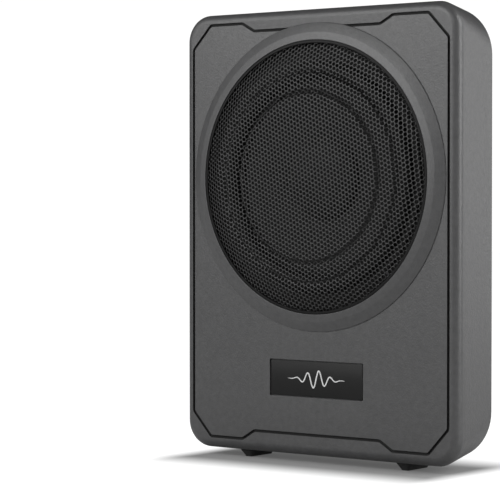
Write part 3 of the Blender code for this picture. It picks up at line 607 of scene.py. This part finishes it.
def pan_screw(name, middle, seat, top, tip, radius, shank, turn, look, finish_slot, node):
    """A pan-head screw: a shank from its tip to its seat, a head with a rounded shoulder from
    the seat to the top, and a cross recess turned by an angle. Distances are depths."""
    head = top - seat
    levels = [(shank - radius, tip), (shank - radius, seat), (0.0, seat), (0.0, seat + 0.4 * head)]
    levels += [(-radius * (1 - math.cos(a)) * 0.55, seat + head * (0.4 + 0.6 * math.sin(a)))
               for a in np.radians((20, 40, 60, 78, 90))]
    arm, half = 0.55 * radius, 0.14 * radius
    cross = np.array(((arm, -half), (arm, half), (half, half), (half, arm), (-half, arm),
                      (-half, half), (-arm, half), (-arm, -half), (-half, -half), (-half, -arm),
                      (half, -arm), (half, -half)))
    swing = math.radians(turn)
    cross = cross @ np.array(((math.cos(swing), math.sin(swing)),
                              (-math.sin(swing), math.cos(swing)))) + middle
    piece = skin(name, *slab(round_edge(middle, radius), levels, on_front,
                             [(cross, top - 0.65 * head)]))
    fitted(piece, "cabinet", finish_slot, node, look)


cone_reach = np.linspace(0, 1, 10)
cone_radius = 70.0 - 50.4 * cone_reach
cone_depth = 3.6 + 11.0 * cone_reach ** 1.1
cone_front = np.stack((cone_radius, cone_depth), -1)
cone_loop = np.concatenate((((74.0, 3.2),), cone_front, cone_front[::-1] + (0.0, 1.2),
                            ((74.0, 4.4),)))
cone = skin("pulp_cone", [turned(np.concatenate((cone_loop, cone_loop[:1])) * mm, driver_face)])
pulp = finish("black_pulp", ((0.010, 0.010, 0.010), (0.015, 0.015, 0.015)), 0.8, (0.55, 0.7), 0.12,
              broad=60.0, shine=0.12)
fitted(cone, "diaphragm", "cone_paper", "cone", pulp)

cap_turn = np.radians(np.linspace(0, 90, 12))
cap_outer = np.stack((32.5 * np.cos(cap_turn), 11.2 - 8.5 * np.sin(cap_turn)), -1)
cap_inner = np.stack((31.6 * np.cos(cap_turn), 11.5 - 7.6 * np.sin(cap_turn)), -1)
cap_loop = np.concatenate((cap_outer, cap_inner[::-1], cap_outer[:1]))
cap = skin("domed_cap", [turned(cap_loop * mm, driver_face, turns=96)])
fitted(cap, "diaphragm", "cone_paper", "dust_cap", pulp)

roll_turn = np.radians(np.linspace(0, 180, 19))
roll_outer = np.stack((81.5 + 7.2 * np.cos(roll_turn), 1.7 - 7.2 * np.sin(roll_turn)), -1)
roll_inner = np.stack((81.5 + 6.0 * np.cos(roll_turn), 1.7 - 6.0 * np.sin(roll_turn)), -1)
roll_loop = np.concatenate((((94.5, 1.7),), roll_outer, ((70.5, 1.7), (70.5, 2.9), (75.5, 2.9)),
                            roll_inner[::-1], ((87.5, 2.9), (94.5, 2.9)))) * mm
rubber = finish("surround_butyl", ((0.006, 0.006, 0.006), (0.009, 0.009, 0.009)), 0.6, (0.45, 0.6),
                0.03, shine=0.1)
spider_cloth = finish("resin_cloth", ((0.16, 0.10, 0.04), (0.22, 0.14, 0.06)), 0.5, (0.7, 0.9), 0.15)


def soft_ring(name, loop, look, node):
    """A flexible ring between the basket and the cone, in sixteen closed sectors. Each sector is the
    loop turned through its share of the circle and closed by flat ends."""
    sectors = 16
    sector = 360 / sectors
    for number in range(sectors):
        start = sector * number
        ends = []
        for angle in (math.radians(start), math.radians(start + sector)):
            def on_cut(pairs, angle=angle):
                """Places pairs (radius, depth) on the half plane at this angle round the axis."""
                return np.stack((pairs[:, 0] * math.cos(angle), face_y + pairs[:, 1],
                                 axis_z + pairs[:, 0] * math.sin(angle)), -1)

            ends.append(plate(loop, [], on_cut))
        piece = skin(f"{name}_{number + 1}",
                     [turned(np.concatenate((loop, loop[:1])), driver_face, turns=9, sweep=sector,
                             start=start)], ends)
        piece.data.materials.append(look)
        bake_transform(piece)
        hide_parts(node)


soft_ring("surround_roll", roll_loop, look=rubber,
          node="surround")
spider_hub, spider_rim, spider_waves, spider_thick = 19.2, 57.0, 4, 0.8
web_radius = np.linspace(spider_hub, spider_rim, 65)
web_turn = (web_radius - spider_hub) / (spider_rim - spider_hub) * spider_waves * 2 * math.pi
spider_front = np.stack((web_radius, 23.2 - 1.3 * np.sin(web_turn)), -1)
spider_loop = np.concatenate((spider_front, ((64.0, 23.4), (64.0, 24.2)),
                              spider_front[::-1] + (0.0, spider_thick)))
soft_ring("spider_web", spider_loop * mm, look=spider_cloth,
          node="spider")

dark_steel = finish("blackened_steel", ((0.020, 0.020, 0.021), (0.030, 0.030, 0.031)), 0.3,
                    (0.4, 0.55), 0.02, metal=1.0)
for number in range(4):
    node = f"driver_screw_{number + 1}"
    low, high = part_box(node)
    pan_screw(f"basket_screw_{number + 1}", ((low.x + high.x) / 2, (low.z + high.z) / 2),
              seat=2.9 * mm, top=1.5 * mm, tip=11.4 * mm, radius=3.0 * mm, shank=1.4 * mm,
              turn=17 + 31 * number, look=dark_steel, finish_slot="steel", node=node)

# ---- Rear cover ----
# Pressed sheet set into the shell's rear rim, with a raised pan over the driver's motor, painted
# with the cabinet and held by six black pan-head screws.
cover_seam = wall + 0.5 * mm
cover_front, cover_back = 46.7 * mm, 48.5 * mm
pan_half = (110.4 * mm, (shell_high - shell_low) / 2 - 17.8 * mm)
pan_middle = (0.0, (shell_high + shell_low) / 2)
pan = rectangle(pan_middle, pan_half, 20 * mm, 12)
press = np.radians((0, 22, 45, 68, 90))
pan_rows = [(1.6 * mm * (1 - math.sin(a)), cover_back + 1.6 * mm * (1 - math.cos(a))) for a in press]
pan_rows += [(0.0, 52.8 * mm), (-0.35 * mm, 54.2 * mm), (-2.1 * mm, 56.4 * mm), (-3.2 * mm, 56.9 * mm),
             (-4.2 * mm, 57.0 * mm)]
hollow_rows = [(-1.8 * mm, cover_front), (-1.8 * mm, 52.2 * mm), (-4.8 * mm, 55.2 * mm)]
pan_grid = np.stack([ring_of(moved_out(pan, offset), on_front(depth)) for offset, depth in pan_rows])
hollow_grid = np.stack([ring_of(moved_out(pan, offset), on_front(depth))
                        for offset, depth in hollow_rows])
cover_rows = [outline(depth, inset + cover_seam) for inset, depth in (
    (0.0, cover_front), (0.0, cover_back - 0.5 * mm), (0.15 * mm, cover_back - 0.15 * mm),
    (0.5 * mm, cover_back))]
rear_screws = []
for number in range(6):
    low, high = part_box(f"rear_screw_{number + 1}")
    rear_screws.append(((low.x + high.x) / 2, (low.z + high.z) / 2))
bores = [round_edge(middle, 2.2 * mm, 16) for middle in rear_screws]
bore_grids = [np.stack([ring_of(bore, on_front(depth)) for depth in (cover_front, cover_back)])
              for bore in bores]
cover = skin("rear_pan", [np.stack(cover_rows), pan_grid, hollow_grid, *bore_grids], [
    plate(cover_rows[-1][:-1][:, (0, 2)], [moved_out(pan, pan_rows[0][0]), *bores],
          on_front(cover_back)),
    plate(cover_rows[0][:-1][:, (0, 2)], [moved_out(pan, hollow_rows[0][0]), *bores],
          on_front(cover_front)),
    plate(moved_out(pan, pan_rows[-1][0]), [], on_front(pan_rows[-1][1])),
    plate(moved_out(pan, hollow_rows[-1][0]), [], on_front(hollow_rows[-1][1]))])
fitted(cover, "cabinet", "grey_paint", "rear_cover", grey_coat)

black_zinc = finish("black_zinc", ((0.020, 0.020, 0.022), (0.032, 0.032, 0.034)), 0.25, (0.3, 0.45),
                    0.02, metal=0.6)
for number, middle in enumerate(rear_screws):
    pan_screw(f"cover_screw_{number + 1}", middle, seat=48.8 * mm, top=50.4 * mm, tip=38.8 * mm,
              radius=3.4 * mm, shank=1.6 * mm, turn=11 + 37 * number, look=black_zinc,
              finish_slot="black_screw", node=f"rear_screw_{number + 1}")

# ---- Feet ----
# Two strips of black rubber, glued under the bottom end from front to back. Each has a short
# upright band along its top and tapers from there to a narrow sole.


def on_level(height):
    """Places pairs (x, y) at a height."""
    return lambda pairs: np.stack((pairs[:, 0], pairs[:, 1], np.full(len(pairs), height)), -1)


foot_rubber = finish("foot_rubber", ((0.016, 0.016, 0.016), (0.022, 0.022, 0.022)), 0.5, (0.6, 0.75),
                     0.05)
foot_levels = ((0.0, 5.7 * mm), (0.0, 5.2 * mm), (-3.5 * mm, 0.9 * mm), (-3.75 * mm, 0.3 * mm),
               (-4.1 * mm, 0.0))
for side, node in ((-1, "foot_left"), (1, "foot_right")):
    low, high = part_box(node)
    middle = ((low.x + high.x) / 2, (low.y + high.y) / 2)
    half = ((high.x - low.x) / 2, (high.y - low.y) / 2)
    foot = skin(f"rubber_{node}", *slab(rectangle(middle, half, 4.6 * mm, 6), foot_levels, on_level))
    fitted(foot, "cabinet", "foot_rubber", node, foot_rubber)

# ---- Control recess ----
# A moulded tray in the top end, with three fluted knobs, a phase slider, a power lamp and the
# modular socket for a wired level control. Pale ticks round each knob mark its turn.
end_middle = face_y + 27 * mm
black_mould = finish("black_moulding", ((0.017, 0.017, 0.018), (0.023, 0.023, 0.024)), 0.35,
                     (0.42, 0.55), 0.04)
pale_print = finish("pale_print", ((0.55, 0.55, 0.55), (0.62, 0.62, 0.62)), 0.2, (0.5, 0.6), 0.01)
nickel = finish("nickel_plate", ((0.60, 0.58, 0.54), (0.68, 0.66, 0.62)), 0.2, (0.22, 0.34), 0.01,
                metal=1.0)
gilt = finish("gilt_contact", ((0.72, 0.50, 0.18), (0.80, 0.58, 0.24)), 0.2, (0.25, 0.35), 0.01,
              metal=1.0)


def open_tray(name, half, base, ground, rim, pocket_half, cuts, node):
    """A shallow tray: outer walls from its base to its rim, a pocket down to its ground, and
    cuts through the ground. The rim may lie above or below the base."""
    way = math.copysign(1.0, rim - base)
    edge = rectangle((0.0, end_middle), half, 1.5 * mm)
    pocket = rectangle((0.0, end_middle), pocket_half, 1.5 * mm)
    round_in = [(-0.6 * mm * (1 - math.cos(a)), ground + way * 0.6 * mm * (1 - math.sin(a)))
                for a in np.radians((0, 30, 60, 90))]
    grids = [np.stack([ring_of(edge, on_level(base)), ring_of(edge, on_level(rim))]),
             np.stack([ring_of(pocket, on_level(rim))] + [
                 ring_of(moved_out(pocket, offset), on_level(height)) for offset, height in round_in])]
    grids += [np.stack([ring_of(cut, on_level(base)), ring_of(cut, on_level(ground))])
              for cut in cuts]
    piece = skin(name, grids, [plate(edge, cuts, on_level(base)), plate(edge, [pocket], on_level(rim)),
                               plate(moved_out(pocket, round_in[-1][0]), cuts, on_level(ground))])
    fitted(piece, "cabinet", "black_plastic", node, black_mould)


knob_places = {"gain": -52 * mm, "low_pass": -25 * mm, "bass_boost": 2 * mm}
switch_x, lamp_x, remote_x = 23 * mm, 36 * mm, 54 * mm
control_floor = 335.7 * mm
control_cuts = [round_edge((x, end_middle), 3.3 * mm) for x in knob_places.values()]
control_cuts += [rectangle((switch_x, end_middle), (5.5 * mm, 2.2 * mm), 0.4 * mm, 3),
                 round_edge((lamp_x, end_middle), 1.8 * mm),
                 rectangle((remote_x, end_middle), (7.3 * mm, 6.8 * mm), 0.3 * mm, 3)]
open_tray("control_pan", half=(74 * mm, 15 * mm), base=333.7 * mm, ground=control_floor,
          rim=342.5 * mm, pocket_half=(70 * mm, 11 * mm), cuts=control_cuts, node="control_tray")

knob_profile = np.array(((0.0, 343.3), (3.2, 343.3), (3.2, 336.2), (7.6, 336.2), (7.8, 336.5),
                         (7.8, 337.5), (7.55, 337.9), (7.05, 345.2), (6.85, 345.8), (6.4, 346.2),
                         (5.8, 346.4), (5.5, 346.15), (0.0, 346.0))) * mm
flute_share = np.array((0, 0, 0, 0, 0, 0, 0.6, 1, 0.8, 0.4, 0, 0, 0))[:, None]
flutes, flute_cut, flute_points = 24, 0.035, 145
flute_turn = np.radians(np.linspace(0, 360, flute_points))
for label, x in knob_places.items():
    scale = 1 - flute_cut * flute_share * (1 - np.cos(flutes * flute_turn)) / 2
    grid = np.stack((x + knob_profile[:, :1] * scale * np.cos(flute_turn),
                     end_middle + knob_profile[:, :1] * scale * np.sin(flute_turn),
                     np.repeat(knob_profile[:, 1:], flute_points, 1)), -1)
    knob = skin(f"{label}_cap", [grid])
    fitted(knob, f"{label}_dial", "black_plastic", f"{label}_knob", black_mould)
    pointer = skin(f"{label}_pointer", *slab(
        rectangle((x, end_middle + 3.9 * mm), (0.45 * mm, 1.9 * mm), 0.2 * mm, 3),
        ((0.0, 345.9 * mm), (0.0, 346.25 * mm), (-0.1 * mm, 346.35 * mm)), on_level))
    fitted(pointer, f"{label}_dial", "black_plastic", None, pale_print)

tick_grids, tick_plates = [], []
for x in knob_places.values():
    for turn in np.radians(90 + np.linspace(-140, 140, 11)):
        ray = np.array((math.cos(turn), math.sin(turn)))
        side_way = np.array((-ray[1], ray[0]))
        corners = [(x, end_middle) + ray * reach_out * mm + side_way * aside * mm
                   for reach_out, aside in ((8.7, -0.18), (10.0, -0.18), (10.0, 0.18), (8.7, 0.18))]
        grids, ends = slab(np.array(corners), ((0.0, control_floor - 0.05 * mm),
                                               (0.0, control_floor + 0.06 * mm)), on_level)
        tick_grids += grids
        tick_plates += ends
ticks = skin("dial_ticks", tick_grids, tick_plates)
fitted(ticks, "cabinet", "black_plastic", None, pale_print)

slider_low, slider_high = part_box("phase_slider")
slider_x = (slider_low.x + slider_high.x) / 2
key_grids, key_plates = slab(rectangle((slider_x, end_middle), (3.5 * mm, 1.8 * mm), 0.4 * mm, 3),
                             ((0.0, 333.7 * mm), (0.0, 339.0 * mm), (-0.1 * mm, 339.2 * mm),
                              (-0.3 * mm, 339.3 * mm)), on_level)
for shift in (-2.1, -0.7, 0.7, 2.1):
    grids, ends = slab(rectangle((slider_x + shift * mm, end_middle), (0.3 * mm, 1.4 * mm), 0.1 * mm, 2),
                       ((0.0, 339.2 * mm), (0.0, 339.6 * mm), (-0.1 * mm, 339.7 * mm)), on_level)
    key_grids += grids
    key_plates += ends
key = skin("phase_cap", key_grids, key_plates)
fitted(key, "phase_key", "black_plastic", "phase_slider", black_mould)

lamp_turn = np.radians(np.linspace(0, 90, 7))
lamp_profile = [(0.0, 325.7 * mm), (1.5 * mm, 325.7 * mm)]
lamp_profile += [(1.5 * mm * math.cos(a), 336.2 * mm + 1.0 * mm * math.sin(a)) for a in lamp_turn]
lamp = skin("lamp_lens", [turned(lamp_profile, (lamp_x, end_middle, 0.0), along="Z", turns=32)])
lens = finish("blue_lens", ((0.02, 0.07, 0.55), (0.03, 0.10, 0.70)), 0.3, (0.08, 0.14), 0.005)
lens_shader = lens.node_tree.nodes["Principled BSDF"]
lens_shader.inputs["Emission Color"].default_value = (0.05, 0.2, 1.0, 1.0)
lens_shader.inputs["Emission Strength"].default_value = 0.35
fitted(lamp, "cabinet", "lamp_blue", "power_lamp", lens)

socket_mouth = np.array(((-5.2, -4.5), (5.2, -4.5), (5.2, 3.0), (1.9, 3.0), (1.9, 4.4), (-1.9, 4.4),
                         (-1.9, 3.0), (-5.2, 3.0))) * mm + (remote_x, end_middle)
socket = skin("modular_socket", *slab(
    rectangle((remote_x, end_middle), (7.0 * mm, 6.5 * mm), 0.4 * mm, 3),
    ((0.0, 325.7 * mm), (0.0, 336.4 * mm), (-0.1 * mm, 336.6 * mm), (-0.3 * mm, 336.7 * mm)), on_level,
    [(socket_mouth, 327.7 * mm)]))
fitted(socket, "cabinet", "black_plastic", "remote_socket", black_mould)
wire_path = np.array(((-4.45, 335.6), (-3.4, 334.4), (-1.6, 331.2), (-0.6, 327.9)))
wire_pitch = 1.27 * mm
wire_grids, wire_plates = [], []
for number in range(6):
    wire_x = remote_x + (number - 2.5) * wire_pitch
    rows = []
    for aside, lift in ((-0.25, -0.2), (0.25, -0.2), (0.25, 0.2), (-0.25, 0.2), (-0.25, -0.2)):
        rows.append(np.stack((np.full(4, wire_x + aside * mm), end_middle + (wire_path[:, 0] + lift) * mm,
                              wire_path[:, 1] * mm), -1))
    wire_grids.append(np.stack(rows))
    for tip in (0, -1):
        wire_plates.append((np.stack([row[tip] for row in rows[:4]]), np.array(((0, 1, 2), (0, 2, 3)))))
wires = skin("socket_wires", wire_grids, wire_plates)
fitted(wires, "cabinet", "nickel", None, gilt)

# ---- Connector recess ----
# A moulded tray in the bottom end, with two phono jacks, the speaker and power inlets with
# their pins, and a blade fuse in its holder.
inlets = (("speaker_input", -15.5 * mm, 12 * mm, (-7.5, -2.5, 2.5, 7.5), (0.6, 0.6)),
          ("power_input", 14.5 * mm, 14 * mm, (-8.5, 0.0, 8.5), (2.4, 0.45)))
jack_places = (-53 * mm, -38 * mm)
fuse_x = 45 * mm
connector_cuts = [round_edge((x, end_middle), 4.8 * mm) for x in jack_places]
connector_cuts += [rectangle((x, end_middle), (half + 0.3 * mm, 6.5 * mm), 0.3 * mm, 3)
                   for _, x, half, _, _ in inlets]
connector_cuts.append(rectangle((fuse_x, end_middle), (12.1 * mm, 4.8 * mm), 0.3 * mm, 3))
open_tray("connector_pan", half=(66 * mm, 15 * mm), base=19.5 * mm, ground=17.5 * mm,
          rim=11.8 * mm, pocket_half=(62 * mm, 11 * mm), cuts=connector_cuts, node="connector_tray")

jack_profile = np.array(((0.0, 29.0), (4.3, 29.0), (4.3, 10.0), (4.15, 9.65), (3.8, 9.5), (3.5, 9.6),
                         (3.3, 9.9), (3.3, 20.0), (0.0, 20.0))) * mm
plug_profile = np.array(((0.0, 19.9), (3.2, 19.9), (3.2, 13.2), (3.0, 13.0), (1.7, 13.0),
                         (1.6, 13.1), (1.6, 19.0), (0.0, 19.0))) * mm
for number, (x, colours) in enumerate(zip(jack_places, (
        ((0.55, 0.54, 0.52), (0.62, 0.61, 0.59)), ((0.42, 0.02, 0.02), (0.50, 0.03, 0.03))))):
    jack = skin(f"phono_shell_{number + 1}", [turned(jack_profile, (x, end_middle, 0.0), "Z", 48)])
    fitted(jack, "cabinet", "nickel", f"rca_jack_{number + 1}", nickel)
    insert = skin(f"phono_insert_{number + 1}", [turned(plug_profile, (x, end_middle, 0.0), "Z", 40)])
    insert_mould = finish(f"insert_moulding_{number + 1}", colours, 0.3, (0.35, 0.5), 0.03)
    fitted(insert, "cabinet", "black_plastic", None, insert_mould)

pin_grids, pin_plates = [], []
for node, x, half, pins, (pin_x, pin_y) in inlets:
    mouth = rectangle((x, end_middle), (half - 1.5 * mm, 4.5 * mm), 0.6 * mm, 3)
    inlet = skin(f"{node}_housing", *slab(
        rectangle((x, end_middle), (half, 6.2 * mm), 0.8 * mm, 4),
        ((0.0, 29 * mm), (0.0, 10.4 * mm), (-0.1 * mm, 10.15 * mm), (-0.35 * mm, 10 * mm)), on_level,
        [(mouth, 20 * mm)]))
    fitted(inlet, "cabinet", "black_plastic", node, black_mould)
    for place_x in pins:
        grids, ends = slab(rectangle((x + place_x * mm, end_middle), (pin_x * mm, pin_y * mm),
                                     0.15 * mm, 2),
                           ((0.0, 20.1 * mm), (0.0, 12.6 * mm), (-0.25 * mm, 12.0 * mm)), on_level)
        pin_grids += grids
        pin_plates += ends
pins = skin("inlet_pins", pin_grids, pin_plates)
fitted(pins, "cabinet", "nickel", None, nickel)

holder = skin("fuse_socket", *slab(
    rectangle((fuse_x, end_middle), (11.8 * mm, 4.5 * mm), 0.6 * mm, 4),
    ((0.0, 29 * mm), (0.0, 13.3 * mm), (-0.1 * mm, 13.1 * mm), (-0.3 * mm, 13 * mm)), on_level,
    [(rectangle((fuse_x, end_middle), (10 * mm, 3.0 * mm), 0.5 * mm, 3), 24 * mm)]))
fitted(holder, "cabinet", "black_plastic", "fuse_holder", black_mould)
fuse = skin("fuse_body", *slab(
    rectangle((fuse_x, end_middle), (9.7 * mm, 2.4 * mm), 0.8 * mm, 4),
    ((-1.2 * mm, 18.5 * mm), (-0.6 * mm, 17.8 * mm), (-0.6 * mm, 14.2 * mm), (0.0, 13.6 * mm),
     (0.0, 10.9 * mm), (-0.15 * mm, 10.6 * mm), (-0.4 * mm, 10.5 * mm)), on_level,
    [(rectangle((fuse_x, end_middle), (6.6 * mm, 1.0 * mm), 0.4 * mm, 3), 11.3 * mm)]))
amber = finish("fuse_amber", ((0.62, 0.17, 0.015), (0.72, 0.22, 0.03)), 0.3, (0.22, 0.32), 0.01)
fitted(fuse, "cabinet", "fuse_orange", "blade_fuse", amber)
blade_grids, blade_plates = [], []
for shift in (-5.0, 5.0):
    grids, ends = slab(rectangle((fuse_x + shift * mm, end_middle), (2.5 * mm, 0.35 * mm), 0.1 * mm, 2),
                       ((-0.2 * mm, 23.6 * mm), (0.0, 22.8 * mm), (0.0, 18.4 * mm)), on_level)
    blade_grids += grids
    blade_plates += ends
blades = skin("fuse_blades", blade_grids, blade_plates)
fitted(blades, "cabinet", "nickel", None, nickel)

# ---- Pieces inside ----
# The driver's basket and motor, the amplifier board and its parts, and the pots behind the
# controls keep their machined shapes and get their real finishes.
pressed_black = finish("basket_paint", ((0.006, 0.006, 0.006), (0.009, 0.009, 0.009)), 0.4,
                       (0.5, 0.65), 0.04, shine=0.1)
plated_steel = finish("plated_steel", ((0.48, 0.48, 0.49), (0.56, 0.56, 0.57)), 0.4, (0.25, 0.4),
                      0.02, metal=1.0)
ferrite = finish("sintered_ferrite", ((0.040, 0.040, 0.044), (0.060, 0.060, 0.064)), 0.3, (0.6, 0.8),
                 0.05)
drawn_aluminium = finish("drawn_aluminium", ((0.66, 0.66, 0.68), (0.76, 0.76, 0.78)), 0.3,
                         (0.3, 0.42), 0.02, metal=1.0)
enamelled_copper = finish("enamelled_copper", ((0.55, 0.22, 0.09), (0.68, 0.30, 0.13)), 0.3,
                          (0.22, 0.35), 0.05, metal=1.0)
board_mask = finish("board_mask", ((0.015, 0.10, 0.035), (0.03, 0.15, 0.06)), 1.2, (0.3, 0.45), 0.02,
                    broad=220.0)
red_lead = finish("red_lead", ((0.38, 0.015, 0.012), (0.46, 0.025, 0.02)), 0.4, (0.4, 0.5), 0.02)
black_lead = finish("black_lead", ((0.015, 0.015, 0.015), (0.022, 0.022, 0.022)), 0.4, (0.4, 0.5),
                    0.02)
inside_looks = (
    (pressed_black, ("driver_basket",)),
    (plated_steel, ("top_plate", "yoke", "phase_switch")),
    (ferrite, ("magnet",)),
    (drawn_aluminium, ("coil_former", "heat_sink")),
    (enamelled_copper, ("voice_coil", "choke_coil")),
    (board_mask, ("control_board", "amp_board")),
    (nickel, ("gain_shaft", "low_pass_shaft", "bass_boost_shaft")),
    (black_mould, ("driver_terminal", "gain_pot", "low_pass_pot", "bass_boost_pot", "capacitor_1",
                   "capacitor_2", "transformer", "transistor_1", "transistor_2")),
    (red_lead, ("lead_positive",)),
    (black_lead, ("lead_negative",)))
for look, names in inside_looks:
    for name in names:
        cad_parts[name].material_slots[0].material = look
